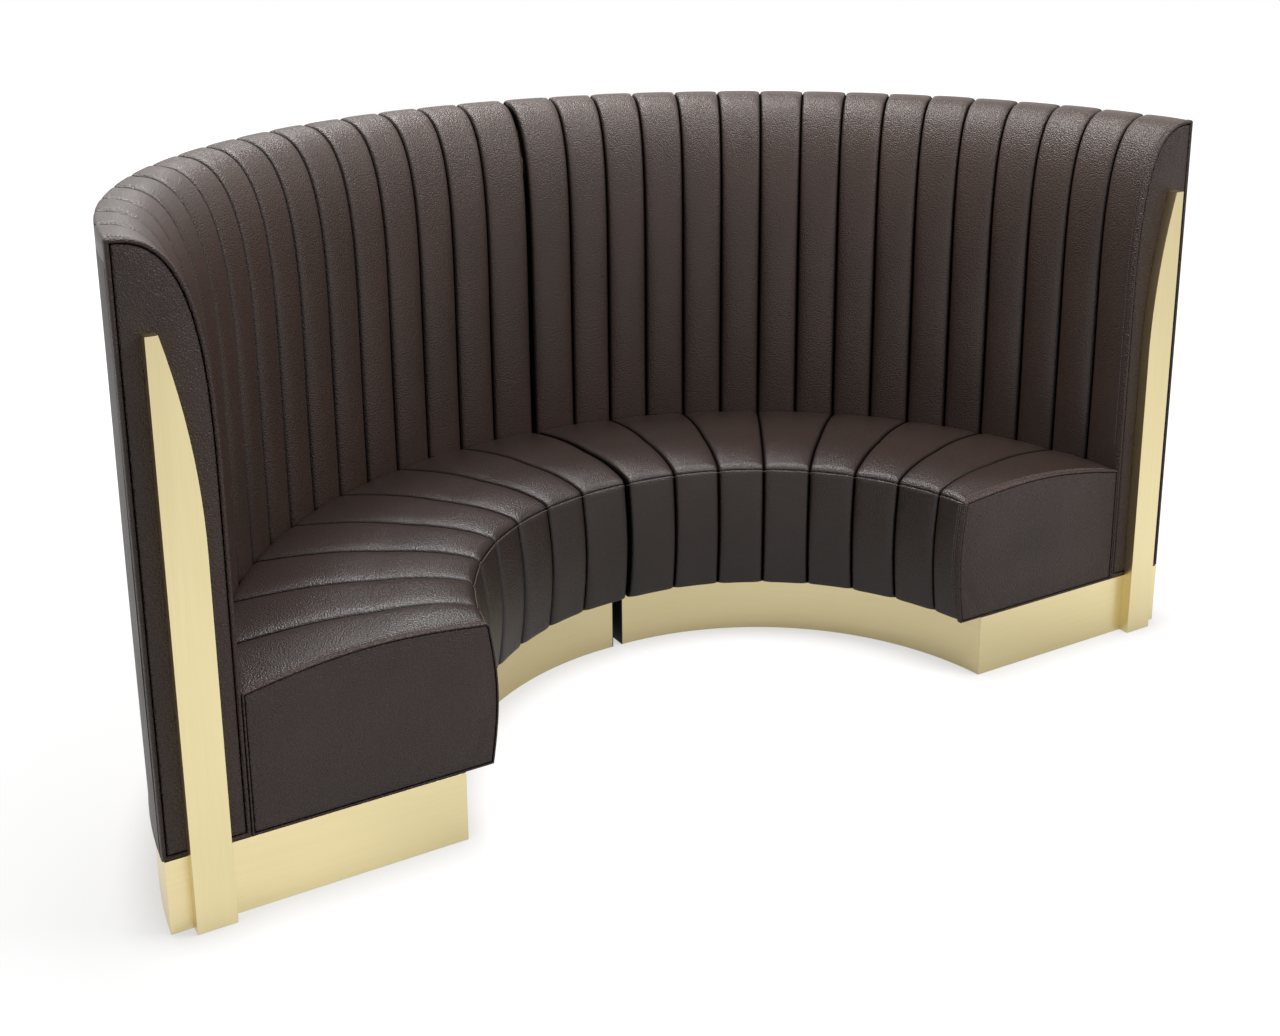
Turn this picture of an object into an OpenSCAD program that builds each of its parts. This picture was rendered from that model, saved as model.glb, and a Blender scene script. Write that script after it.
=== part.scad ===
// Half-round booth seat in two mirrored modules, in millimetres.
// The back stands on an arc, the open side faces -Y and the floor is z = 0.
// Each module is drawn round its own arc centre: +Y runs to the joint between
// the modules, +X runs along the front plane to the module's free end.

/* [Plan] */
// Radius of the outside of the back
outer_r = 1237; // [1200:1:1400]
// Distance from the middle of the booth to each module's arc centre
module_shift = 15; // [12:1:40]
// Distance from the arc centre back to the flat end faces
end_y = 70; // [40:1:120]
// Gap between the two upholstered bodies
body_gap = 8; // [4:1:20]
// Gap between the two plinths
plinth_gap = 24; // [10:1:40]

/* [Back] */
// Height of the back above the floor
body_h = 1285; // [1200:1:1500]
// Thickness of the back at its padded crests
back_t = 154; // [145:1:200]
// Height at which the back starts to roll over
lean_z = 700; // [600:1:900]
// Channels across the back of one module
back_channels = 16; // [8:2:24]
// Angle of one back channel
channel_angle = 5.35; // [2:0.05:5.5]
// Depth of the sewn channels in the back
back_groove = 12; // [4:1:20]
// Radius of the outer top rim
rim_r = 5; // [2:1:10]
// Thickness of the leather and felt outside the back
cover_t = 4; // [2:0.5:8]
// Thickness of the bent plywood sheets
sheet_t = 6; // [4:0.5:10]
// Depth from the outside of the back to the front of its inner sheet
sheet_depth = 109; // [95:1:120]
// Distance from the top of the back down to the end of its inner sheet
sheet_drop = 145; // [100:1:220]
// Width of the rail along the top of the back
rail_w = 62; // [40:1:80]
// Thickness of the padding over the top of that rail
rail_drop = 41; // [35:1:60]

/* [Seat] */
// Radius of the seat's front at its top and bottom edges
seat_front_r = 592; // [560:1:600]
// Forward swell of the seat's front
front_swell = 15; // [5:1:25]
// Height of the seat at its front edge
seat_edge_z = 452; // [420:1:480]
// Height of the seat where it meets the back
seat_rear_z = 434; // [410:1:460]
// Crown of the seat above the line from front to back
seat_crown = 25; // [5:1:35]
// Depth of the sewn channels in the seat
seat_groove = 9; // [4:1:15]
// Thickness of the padding at the bottom of the seat's front
front_pad = 24; // [18:1:40]
// Height of the top of the seat deck
deck_top = 378; // [340:1:390]
// Radius of the seat's top front edge
edge_r = 12; // [6:1:20]

/* [Ends] */
// Thickness of the upholstered end panels
panel_t = 14; // [8:1:20]
// Width of the welt round an end panel
welt_w = 9; // [5:1:14]
// Amount by which the back's end face stands proud of the channels
end_extra = 8; // [0:1:12]
// Height of the end pillar
pillar_h = 1122; // [1000:1:1180]
// Width of the end pillar
pillar_w = 74; // [50:1:100]
// Width of the pillar at its top
pillar_top_w = 22; // [15:1:45]
// Height up to which the pillar's inner edge is straight
pillar_straight = 720; // [500:1:850]
// Thickness of the pillar
pillar_t = 26; // [15:1:40]
// Distance from the body's outer corner to the pillar
pillar_inset = 45; // [30:1:60]

/* [Plinth] */
// Height of the plinth
plinth_h = 148; // [110:1:200]
// Distance that the plinth's inner face lies behind the seat's front edge
plinth_recess = 59; // [35:1:90]
// Distance that the plinth's outer face lies inside the back
plinth_inset = 4; // [2:1:20]
// Thickness of the metal sheet
fascia_t = 2; // [1:0.5:4]

/* [Boards] */
// Thickness of the plywood boards
ply_t = 18; // [12:1:24]
// Thickness of the seat's plywood front panel
front_ply_t = 12; // [6:1:18]

/* [Levelling feet] */
// Diameter of a foot's pad
foot_d = 50; // [30:1:58]
// Thickness of a foot's pad
foot_pad_t = 8; // [5:1:12]
// Width across the corners of a foot's hexagon
foot_hex_d = 22; // [18:1:30]
// Height of a foot's hexagon
foot_hex_t = 7.5; // [5:0.5:12]
// Diameter of a foot's stud
stud_d = 12; // [8:1:16]
// Length of a foot's stud above its pad
stud_l = 83; // [60:1:100]
// Height of a raised foot above the floor
foot_rise = 1; // [0.5:0.5:3]
// Clearance round a pad in its hole in the base ring
foot_hole_gap = 5; // [3:1:10]
// Radial clearance of a stud in its socket
thread_gap = 0.05; // [0.03:0.01:0.1]
// Diameter and height of a socket's tube
socket_d = 22; // [18:1:30]
socket_h = 38; // [20:1:50]
// Width and thickness of a socket's plate
socket_plate_w = 90; // [75:1:110]
socket_plate_t = 4; // [3:0.5:6]
// Distance from the plinth's inner face to the middle foot
inner_foot_margin = 79; // [60:1:150]
// Distance from the plinth's outer face to the two other feet
outer_foot_margin = 83; // [60:1:150]

/* [Screws and bolts] */
// Diameter of the pillar screws
screw_d = 6; // [4:1:8]
// Length of a screw in the pillar
screw_bite = 16; // [8:1:20]
// Thickness of a screw's head
screw_head_t = 4; // [2:0.5:6]
// Distance from the pillar's outer edge to its screws
screw_inset = 14; // [10:1:18]
// Distance from the plinth up to the lowest screw in the body
screw_rise = 182; // [80:1:250]
// Distances from the end of the pillar's straight edge down and up to the two others
screw_drop = 100; // [50:1:150]
screw_reach = 160; // [50:1:200]
// Diameter of the bolts that link the modules
link_d = 8; // [6:1:12]
// Thickness of a bolt's head and nut
link_head_t = 6; // [4:1:10]
// Wall of the spacer round a bolt
spacer_wall = 5; // [3:1:8]
// Clearance of a screw or bolt in its hole, on the diameter
hole_gap = 0.4; // [0.2:0.1:1]
// Distances from the plinth's two faces to its link bolts
link_inner_margin = 169; // [60:1:220]
link_outer_margin = 133; // [60:1:220]
// Distance from the back of the frames to the upper link bolts
link_back_margin = 47; // [30:1:60]
// Distance from the seat deck up to the lower one of them
link_rise = 242; // [150:1:300]
// Distance from the end of the inner sheet down to the upper one
link_drop = 80; // [50:1:150]

/* [Hidden] */

// Clearance between padding and the wood that it lies on
soft_gap = 0.5;
// Margin by which a cut runs past the solid
over = 1;
// Facets of the large arcs and of the small round parts
arc_fn = 360;
small_fn = 48;
// Side of a box that reaches past every arc
far = 1.1 * outer_r;

// Cut planes of the upholstered body and of the plinth, from the arc centre
body_x = body_gap / 2 - module_shift;
plinth_x = plinth_gap / 2 - module_shift;
body_end = end_y + panel_t;
// Depth of the booth in plan, whose middle is the origin
plan_mid_y = (outer_r + end_y - pillar_t) / 2;

// Radii of the back, from the outside inwards
cover_r = outer_r - cover_t;
frame_r = cover_r - sheet_t;
rail_r = frame_r - rail_w;
inner_sheet_r = outer_r - sheet_depth;
rib_front_r = inner_sheet_r + sheet_t;
seat_panel_r = seat_front_r + front_pad;
plinth_r = seat_front_r + plinth_recess;
sheet_top = body_h - sheet_drop;
rail_top = body_h - rail_drop;
board_top = plinth_h + ply_t;
deck_bottom = deck_top - ply_t;
seat_back_r = outer_r - back_t - 2 * soft_gap;
plinth_out_r = outer_r - plinth_inset;
// Distances along the end plane to the back's outer edge and to the front of its end face
body_end_x = sqrt(outer_r * outer_r - body_end * body_end);
back_side_x = body_end_x - back_t - end_extra;
// Angles of the ribs in the plinth and of the frames in the body
plinth_rib_angles = [28, 62];
frame_angles = [22, 44, 66];

// Exponents of the rounded roll of the back
roll_z_power = 0.5;
roll_t_power = 0.74;
// Angles at which the roll is drawn
roll_steps = [12, 24, 35, 46, 56, 66, 75, 83];
// Stations across one channel, as shares of its width
back_stations = [0, 0.09, 0.5, 0.91];
seat_stations = [0, 0.05, 0.15, 0.32, 0.5, 0.68, 0.85, 0.95];
// Stations up the seat's front and back across its top, as shares
front_steps = [0, 0.06, 0.25, 0.5, 0.75, 0.93];
top_steps = [0.04, 0.2, 0.4, 0.6, 0.8, 1];

leather = [0.235, 0.204, 0.196];
brass = [0.886, 0.816, 0.588];
birch = [0.80, 0.68, 0.50];
steel = [0.62, 0.63, 0.64];
black = [0.08, 0.08, 0.08];

// Value between a and b
function mix(a, b, t) = a + (b - a) * t;

// Fullness of a channel at a share of its width, 0 in the seam and 1 in the middle
function fullness(f) = pow(1 - pow(abs(2 * f - 1), 6), 0.5);

// Angle at which a circle of radius r meets the joint plane and the end plane
function joint_angle(r) = asin(body_x / r);
function end_angle(r) = acos(body_end / r);

// Angle at station s: channels keep their angle, and the first and last are cut by the planes
function station_angle(r, s, n, step) =
    s <= 1 ? mix(joint_angle(r), step, s)
    : s >= n - 1 ? mix((n - 1) * step, end_angle(r), s - (n - 1))
    : s * step;

// Stations of n channels, with the last seam
function stations(n, shares) = concat([for (k = [0 : n - 1]) for (f = shares) k + f], [n]);

// Outline of the back's padded face as [depth, height, outward depth, outward height]
function back_face(depth, top) = concat(
    [[depth, deck_top + soft_gap, 1, 0], [depth, lean_z, 1, 0]],
    [for (a = roll_steps) [
        depth * pow(cos(a), roll_t_power),
        lean_z + (top - lean_z) * pow(sin(a), roll_z_power),
        cos(a), sin(a)
    ]],
    [[rim_r, top, 0, 0.5], [0, top - rim_r, 0, 0.5], [0, rail_top + soft_gap, 0, 0]]
);

// The same outline as radius and height, with the three corners behind the padding
function back_section() = [for (p = back_face(back_t, body_h)) [outer_r - p[0], p[1], -p[2], p[3]]];
function back_inner() = [
    [rail_r - soft_gap, rail_top + soft_gap, 0, 0],
    [inner_sheet_r - soft_gap, sheet_top + soft_gap, 0, 0],
    [inner_sheet_r - soft_gap, deck_top + soft_gap, 0, 0]
];

// Outline of the seat's padded front and top as [radius, height, outward radius, outward height]
function seat_front_at(v) = seat_front_r - front_swell * sin(180 * v);
function seat_top_at(u) = mix(seat_edge_z, seat_rear_z, u) + seat_crown * sin(180 * u);
function seat_section() = concat(
    [for (v = front_steps) [seat_front_at(v), mix(plinth_h + soft_gap, seat_edge_z, v), -1, 0]],
    [[seat_front_r + edge_r * 0.3, seat_edge_z - edge_r * 0.3, -0.7, 0.7]],
    [for (u = top_steps) [mix(seat_front_r, seat_back_r, u), seat_top_at(u), 0, 1]]
);
function seat_inner() = [
    [seat_back_r, deck_top + soft_gap, 0, 0],
    [seat_panel_r - soft_gap, deck_top + soft_gap, 0, 0],
    [seat_panel_r - soft_gap, plinth_h + soft_gap, 0, 0]
];

// One ring of points: the section at station s, drawn in by the channel's depth
function section_ring(points, s, n, step, groove, edge) =
    let (full = s == n ? edge : fullness(s - floor(s)))
    [for (p = points)
        let (r = p[0] - p[2] * groove * (1 - full))
        let (z = p[1] - p[3] * groove * (1 - full))
        let (a = station_angle(r, s, n, step))
        [r * sin(a), r * cos(a), z]];

// Triangles of a flat end: each outline point belongs to the corner named by its hub
function cap_faces(first, hubs) = concat(
    [for (j = [0 : len(hubs) - 1]) [first + j, first + j + 1, first + hubs[j]]],
    [for (j = [1 : len(hubs) - 1]) if (hubs[j] != hubs[j - 1])
        [first + j, first + hubs[j], first + hubs[j - 1]]]
);
function turned(faces) = [for (f = faces) [f[0], f[2], f[1]]];

// Channelled padding swept round the arc, from the joint plane to the end plane
module channelled_form(outline, inner, hubs, n, step, shares, groove, edge) {
    loop = concat(outline, inner);
    m = len(loop);
    list = stations(n, shares);
    last = len(list) - 1;
    points = [for (s = list) each section_ring(loop, s, n, step, groove, edge)];
    skin = [for (i = [0 : last - 1]) for (j = [0 : m - 1])
        let (a = i * m + j, b = i * m + (j + 1) % m)
        each [[a, b, b + m], [a, b + m, a + m]]];
    polyhedron(points, concat(turned(cap_faces(0, hubs)), skin, cap_faces(last * m, hubs)));
}

// Quarter of the plan beyond two cut planes
module quarter(x, y) {
    translate([x, y, -over]) cube([far, far, body_h + 2 * over]);
}

// Curved wall between two radii and two heights, cut by the two planes
module curved_wall(r0, r1, z0, z1, x, y) {
    intersection() {
        translate([0, 0, z0]) difference() {
            cylinder(r = r1, h = z1 - z0, $fn = arc_fn);
            translate([0, 0, -over]) cylinder(r = r0, h = z1 - z0 + 2 * over, $fn = arc_fn);
        }
        quarter(x, y);
    }
}

// Upright boards: across the joint, across the end, and along a radius
module joint_slab(x) {
    translate([x, 0, -over]) cube([ply_t, far, body_h + 2 * over]);
}
module end_slab(y) {
    translate([0, y, -over]) cube([far, ply_t, body_h + 2 * over]);
}
module radial_slab(a) {
    rotate([0, 0, -a]) translate([-ply_t / 2, 0, -over]) cube([ply_t, far, body_h + 2 * over]);
}

// Side profile of the body's wooden frames, turned round the arc
module frame_profile() {
    rotate_extrude($fn = arc_fn) polygon([
        [seat_panel_r + front_ply_t, board_top], [frame_r, board_top],
        [frame_r, rail_top - ply_t], [rail_r, rail_top - ply_t],
        [rib_front_r, sheet_top], [rib_front_r, deck_bottom],
        [seat_panel_r + front_ply_t, deck_bottom]
    ]);
}

// Plain ring that the plinth's ribs are cut from
module plinth_profile() {
    difference() {
        translate([0, 0, ply_t]) cylinder(r = plinth_out_r - fascia_t, h = plinth_h - ply_t, $fn = arc_fn);
        cylinder(r = plinth_r + fascia_t, h = plinth_h + over, $fn = arc_fn);
    }
}

// Places of the levelling feet: [angle from the joint, radius]
outer_foot_r = plinth_out_r - outer_foot_margin;
inner_foot_r = plinth_r + inner_foot_margin;
foot_joint_place = [12, outer_foot_r];
foot_middle_place = [45, inner_foot_r];
foot_end_place = [78, outer_foot_r];
foot_places = [foot_joint_place, foot_middle_place, foot_end_place];
module at_foot(place) {
    translate([place[1] * sin(place[0]), place[1] * cos(place[0]), 0]) children();
}

// Places of the bolts that link the modules: [distance from the arc centre, height]
plinth_link_z = (ply_t + plinth_h) / 2;
plinth_links = [
    [plinth_r + link_inner_margin, plinth_link_z],
    [plinth_out_r - link_outer_margin, plinth_link_z]
];
body_links = [
    [frame_r - link_back_margin, deck_top + link_rise],
    [frame_r - link_back_margin, sheet_top - link_drop]
];
link_head_d = 1.75 * link_d;
spacer_d = link_d + 2 * spacer_wall;
module along_x(place, d, x0, x1) {
    translate([x0, place[0], place[1]]) rotate([0, 90, 0]) cylinder(d = d, h = x1 - x0, $fn = small_fn);
}

// Places of the pillar screws, on a line inside the pillar's outer edge
pillar_x = sqrt(outer_r * outer_r - end_y * end_y) - pillar_inset;
screw_x = pillar_x - screw_inset;
// Heights of the pillar screws
plinth_screw_z = plinth_h / 2;
body_screw_z = [plinth_h + screw_rise, pillar_straight - screw_drop, pillar_straight + screw_reach];
module along_y(z, d, y0, y1) {
    translate([screw_x, y1, z]) rotate([90, 0, 0]) cylinder(d = d, h = y1 - y0, $fn = small_fn);
}

module plinth_inner_fascia() {
    color(brass) curved_wall(plinth_r, plinth_r + fascia_t, 0, plinth_h,
        plinth_x + fascia_t, end_y + fascia_t);
}

module plinth_outer_fascia() {
    color(brass) curved_wall(plinth_out_r - fascia_t, plinth_out_r, 0, plinth_h,
        plinth_x + fascia_t, end_y + fascia_t);
}

module plinth_end_plate() {
    color(brass) difference() {
        intersection() {
            curved_wall(plinth_r, plinth_out_r, 0, plinth_h, 0, end_y);
            translate([0, end_y, -over]) cube([far, fascia_t, plinth_h + 2 * over]);
        }
        along_y(plinth_screw_z, screw_d + hole_gap, end_y - over, end_y + fascia_t + over);
    }
}

module plinth_joint_plate() {
    color(black) difference() {
        intersection() {
            curved_wall(plinth_r, plinth_out_r, 0, plinth_h, plinth_x, 0);
            translate([plinth_x, 0, -over]) cube([fascia_t, far, plinth_h + 2 * over]);
        }
        for (p = plinth_links) along_x(p, link_d + hole_gap, plinth_x - over, plinth_x + fascia_t + over);
    }
}

module base_ring() {
    color(birch) difference() {
        curved_wall(plinth_r + fascia_t, plinth_out_r - fascia_t, 0, ply_t,
            plinth_x + fascia_t, end_y + fascia_t);
        for (p = foot_places) at_foot(p) translate([0, 0, -over])
            cylinder(d = foot_d + 2 * foot_hole_gap, h = ply_t + 2 * over, $fn = small_fn);
    }
}

// Ribs of the plinth: at the joint, along the arc, and at the end
module plinth_ribs() {
    color(birch) difference() {
        intersection() {
            plinth_profile();
            union() {
                joint_slab(plinth_x + fascia_t);
                for (a = plinth_rib_angles) radial_slab(a);
                end_slab(end_y + fascia_t);
            }
        }
        for (p = plinth_links) along_x(p, link_d + hole_gap, plinth_x, plinth_x + fascia_t + ply_t + over);
        along_y(plinth_screw_z, screw_d + hole_gap, end_y, end_y + fascia_t + ply_t + over);
    }
}

module body_base_board() {
    color(birch) curved_wall(seat_panel_r, frame_r, plinth_h, board_top, body_x, body_end);
}

module joint_frame() {
    color(birch) difference() {
        intersection() {
            frame_profile();
            joint_slab(body_x);
        }
        for (p = body_links) along_x(p, link_d + hole_gap, body_x - over, body_x + ply_t + over);
    }
}

// Frames along the arc, clear of each other
module rib_frames() {
    color(birch) intersection() {
        frame_profile();
        for (a = frame_angles) radial_slab(a);
    }
}

module end_frame() {
    color(birch) difference() {
        intersection() {
            frame_profile();
            end_slab(body_end);
        }
        for (z = body_screw_z) along_y(z, screw_d + hole_gap, body_end - over, body_end + ply_t + over);
    }
}

module seat_front_panel() {
    color(birch) curved_wall(seat_panel_r, seat_panel_r + front_ply_t, board_top, deck_bottom,
        body_x, body_end);
}

module seat_deck() {
    color(birch) curved_wall(seat_panel_r, rib_front_r, deck_bottom, deck_top, body_x, body_end);
}

module seat_cushion() {
    k = len(front_steps) + 1 + len(top_steps);
    hubs = [for (j = [0 : k - 2]) j < len(front_steps) ? k + 2 : j < k - 2 ? k + 1 : k];
    color(leather) channelled_form(seat_section(), seat_inner(), hubs, back_channels / 2,
        2 * channel_angle, seat_stations, seat_groove, 0.7);
}

// Side outline of the seat, drawn in by an inset on all sides
module seat_side(inset) {
    side = [for (p = seat_section()) [
        sqrt(pow(p[0], 2) - pow(body_end, 2)) - p[2] * inset,
        p[1] - p[3] * inset
    ]];
    x1 = back_side_x - 2 * soft_gap - inset;
    z0 = plinth_h + soft_gap + inset;
    polygon(concat(
        [[side[0][0], z0]],
        [for (p = side) if (p[0] < x1 && p[1] > z0) p],
        [[x1, seat_rear_z - inset], [x1, z0]]
    ));
}

module upright_plate(y, t) {
    translate([0, y + t, 0]) rotate([90, 0, 0]) linear_extrude(t) children();
}

module seat_end_panel() {
    color(leather) upright_plate(end_y, panel_t) seat_side(welt_w);
}

module seat_end_welt() {
    color(leather) upright_plate(end_y, panel_t) difference() {
        seat_side(0);
        seat_side(welt_w);
    }
}

module back_inner_sheet() {
    color(birch) curved_wall(inner_sheet_r, rib_front_r, deck_top, sheet_top, body_x, body_end);
}

module back_outer_sheet() {
    color(birch) curved_wall(frame_r, cover_r, plinth_h, rail_top, body_x, body_end);
}

module back_outer_cover() {
    color(leather) curved_wall(cover_r, outer_r, plinth_h, rail_top, body_x, body_end);
}

module back_top_rail() {
    color(birch) curved_wall(rail_r, frame_r, rail_top - ply_t, rail_top, body_x, body_end);
}

module back_cushion() {
    k = len(roll_steps) + 5;
    hubs = [for (j = [0 : k - 2]) j == 0 ? k + 2 : j < len(roll_steps) - 1 ? k + 1 : k];
    color(leather) channelled_form(back_section(), back_inner(), hubs, back_channels,
        channel_angle, back_stations, back_groove, 0.8);
}

// Side outline of the back, drawn in by an inset on all sides
module back_side(inset) {
    x0 = body_end_x - inset;
    z0 = plinth_h + soft_gap + inset;
    z1 = body_h - inset;
    polygon(concat(
        [[back_side_x + inset, z0]],
        [for (p = back_face(back_t + end_extra - inset, z1)) if (p[0] > inset) [body_end_x - p[0], p[1]]],
        [[x0 - rim_r, z1], [x0, z1 - rim_r], [x0, z0]]
    ));
}

module screw_holes(y0, y1) {
    for (z = body_screw_z) along_y(z, screw_d + hole_gap, y0, y1);
}

module back_end_panel() {
    color(leather) difference() {
        upright_plate(end_y, panel_t) back_side(welt_w);
        screw_holes(end_y - over, body_end + over);
    }
}

module back_end_welt() {
    color(leather) upright_plate(end_y, panel_t) difference() {
        back_side(0);
        back_side(welt_w);
    }
}

// Radius of the arc that narrows the pillar from its full width to its top width
pillar_drop = pillar_w - pillar_top_w;
pillar_rise = pillar_h - pillar_straight;
pillar_arc_r = (pillar_rise * pillar_rise + pillar_drop * pillar_drop) / (2 * pillar_drop);

module end_pillar() {
    color(brass) difference() {
        intersection() {
            translate([pillar_x - pillar_w, end_y - pillar_t, 0]) cube([pillar_w, pillar_t, pillar_h]);
            union() {
                translate([pillar_x - pillar_w - over, end_y - pillar_t - over, -over])
                    cube([pillar_w + 2 * over, pillar_t + 2 * over, pillar_straight + over]);
                translate([pillar_x - pillar_w + pillar_arc_r, end_y + over, pillar_straight])
                    rotate([90, 0, 0]) cylinder(r = pillar_arc_r, h = pillar_t + 2 * over, $fn = arc_fn);
            }
        }
        screw_holes(end_y - screw_bite - over, end_y + over);
        along_y(plinth_screw_z, screw_d + hole_gap, end_y - screw_bite - over, end_y + over);
    }
}

// Screws that hold the pillar from inside the body and the plinth
module pillar_screw(z, head_y) {
    along_y(z, screw_d, end_y - screw_bite, head_y);
    along_y(z, 2 * screw_d, head_y, head_y + screw_head_t);
}
module pillar_screws() {
    color(steel) union() {
        for (z = body_screw_z) pillar_screw(z, body_end + ply_t);
        pillar_screw(plinth_screw_z, end_y + fascia_t + ply_t);
    }
}

// Threaded sockets on the base ring that take the levelling feet
module foot_sockets() {
    color(steel) for (p = foot_places) at_foot(p) difference() {
        union() {
            translate([-socket_plate_w / 2, -socket_plate_w / 2, ply_t])
                cube([socket_plate_w, socket_plate_w, socket_plate_t]);
            translate([0, 0, ply_t]) cylinder(d = socket_d, h = socket_h, $fn = small_fn);
        }
        cylinder(d = stud_d + 2 * thread_gap, h = ply_t + socket_h + over, $fn = small_fn);
    }
}

// Levelling foot: pad, hexagon and stud, raised clear of the floor
module levelling_foot(place) {
    color(steel) at_foot(place) {
        translate([0, 0, foot_rise]) cylinder(d = foot_d, h = foot_pad_t, $fn = small_fn);
        translate([0, 0, foot_rise + foot_pad_t]) cylinder(d = foot_hex_d, h = foot_hex_t, $fn = 6);
        translate([0, 0, foot_rise + foot_pad_t]) cylinder(d = stud_d, h = stud_l, $fn = small_fn);
    }
}

// One link: a bolt with a head on one side of the joint and a nut on the other
module link_bolt(place, grip) {
    along_x(place, link_d, -grip - link_head_t, grip);
    along_x(place, link_head_d, -grip - link_head_t, -grip);
    along_x(place, link_head_d, grip, grip + link_head_t);
}
plinth_grip = plinth_gap / 2 + fascia_t + ply_t;
body_grip = body_gap / 2 + ply_t;
module link_bolts() {
    color(steel) union() {
        for (p = plinth_links) link_bolt(p, plinth_grip);
        for (p = body_links) link_bolt(p, body_grip);
    }
}

module link_spacer(place, half) {
    difference() {
        along_x(place, spacer_d, -half, half);
        along_x(place, link_d + hole_gap, -half - over, half + over);
    }
}
module link_spacers() {
    color(black) union() {
        for (p = plinth_links) link_spacer(p, plinth_gap / 2);
        for (p = body_links) link_spacer(p, body_gap / 2);
    }
}

// Placing: the booth is centred on its plan, and the left module mirrors the right one
module centred() {
    translate([0, -plan_mid_y, 0]) children();
}
module right() {
    centred() translate([module_shift, 0, 0]) children();
}
module left() {
    centred() mirror([1, 0, 0]) translate([module_shift, 0, 0]) children();
}

left() plinth_inner_fascia();  // left_plinth_inner_fascia
right() plinth_inner_fascia();  // right_plinth_inner_fascia
left() plinth_outer_fascia();  // left_plinth_outer_fascia
right() plinth_outer_fascia();  // right_plinth_outer_fascia
left() plinth_end_plate();  // left_plinth_end_plate
right() plinth_end_plate();  // right_plinth_end_plate
left() plinth_joint_plate();  // left_plinth_joint_plate
right() plinth_joint_plate();  // right_plinth_joint_plate
left() base_ring();  // left_base_ring
right() base_ring();  // right_base_ring
left() plinth_ribs();  // left_plinth_ribs
right() plinth_ribs();  // right_plinth_ribs
left() body_base_board();  // left_body_base_board
right() body_base_board();  // right_body_base_board
left() joint_frame();  // left_joint_frame
right() joint_frame();  // right_joint_frame
left() rib_frames();  // left_rib_frames
right() rib_frames();  // right_rib_frames
left() end_frame();  // left_end_frame
right() end_frame();  // right_end_frame
left() seat_front_panel();  // left_seat_front_panel
right() seat_front_panel();  // right_seat_front_panel
left() seat_deck();  // left_seat_deck
right() seat_deck();  // right_seat_deck
left() seat_cushion();  // left_seat_cushion
right() seat_cushion();  // right_seat_cushion
left() seat_end_panel();  // left_seat_end_panel
right() seat_end_panel();  // right_seat_end_panel
left() seat_end_welt();  // left_seat_end_welt
right() seat_end_welt();  // right_seat_end_welt
left() back_inner_sheet();  // left_back_inner_sheet
right() back_inner_sheet();  // right_back_inner_sheet
left() back_outer_sheet();  // left_back_outer_sheet
right() back_outer_sheet();  // right_back_outer_sheet
left() back_outer_cover();  // left_back_outer_cover
right() back_outer_cover();  // right_back_outer_cover
left() back_top_rail();  // left_back_top_rail
right() back_top_rail();  // right_back_top_rail
left() back_cushion();  // left_back_cushion
right() back_cushion();  // right_back_cushion
left() back_end_panel();  // left_back_end_panel
right() back_end_panel();  // right_back_end_panel
left() back_end_welt();  // left_back_end_welt
right() back_end_welt();  // right_back_end_welt
left() end_pillar();  // left_end_pillar
right() end_pillar();  // right_end_pillar
left() pillar_screws();  // left_pillar_screws
right() pillar_screws();  // right_pillar_screws
left() foot_sockets();  // left_foot_sockets
right() foot_sockets();  // right_foot_sockets
left() levelling_foot(foot_joint_place);  // left_foot_joint
right() levelling_foot(foot_joint_place);  // right_foot_joint
left() levelling_foot(foot_middle_place);  // left_foot_middle
right() levelling_foot(foot_middle_place);  // right_foot_middle
left() levelling_foot(foot_end_place);  // left_foot_end
right() levelling_foot(foot_end_place);  // right_foot_end
centred() link_bolts();
centred() link_spacers();
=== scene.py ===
"""Half-round booth seat: upholstery, metal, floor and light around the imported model.

Sizes are in millimetres in each module's own plan: the arc centre is the origin,
+Y runs to the joint between the modules, +X to the module's free end.
"""

import math

import bmesh
import bpy
import numpy as np
from mathutils import Matrix, Vector
from mathutils.bvhtree import BVHTree
from mathutils.geometry import delaunay_2d_cdt


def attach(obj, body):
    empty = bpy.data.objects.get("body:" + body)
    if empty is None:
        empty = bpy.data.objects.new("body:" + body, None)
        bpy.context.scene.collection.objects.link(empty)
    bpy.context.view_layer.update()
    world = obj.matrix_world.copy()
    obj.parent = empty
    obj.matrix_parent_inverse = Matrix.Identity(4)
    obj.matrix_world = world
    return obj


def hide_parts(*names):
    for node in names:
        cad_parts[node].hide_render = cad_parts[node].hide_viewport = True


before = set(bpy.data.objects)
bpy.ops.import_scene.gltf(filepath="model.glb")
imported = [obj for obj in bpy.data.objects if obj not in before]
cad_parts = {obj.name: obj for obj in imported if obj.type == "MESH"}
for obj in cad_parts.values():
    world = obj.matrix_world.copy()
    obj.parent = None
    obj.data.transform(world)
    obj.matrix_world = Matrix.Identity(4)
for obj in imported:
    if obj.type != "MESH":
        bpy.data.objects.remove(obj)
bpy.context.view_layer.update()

# Sizes of the solids that the upholstery follows
OUTER_R = 1237.0
MODULE_SHIFT = 15.0
END_Y = 70.0
BODY_GAP = 8.0
PANEL_T = 14.0
BODY_H = 1285.0
BACK_T = 154.0
LEAN_Z = 700.0
ROLL_DEPTH_POWER = 0.74
ROLL_Z_POWER = 0.5
CHANNELS = 16
CHANNEL_ANGLE = math.radians(5.35)
BACK_GROOVE = 12.0
RIM_R = 5.0
COVER_T = 4.0
RAIL_TOP = 1244.0
RAIL_R = 1165.0
SHEET_R = 1128.0
SHEET_TOP = 1140.0
SEAT_FRONT_R = 592.0
FRONT_SWELL = 15.0
SEAT_EDGE_Z = 452.0
SEAT_REAR_Z = 434.0
SEAT_CROWN = 25.0
SEAT_GROOVE = 9.0
SEAT_PANEL_R = 616.0
DECK_TOP = 378.0
END_EXTRA = 8.0
PLINTH_H = 148.0
SOFT = 0.5

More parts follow.
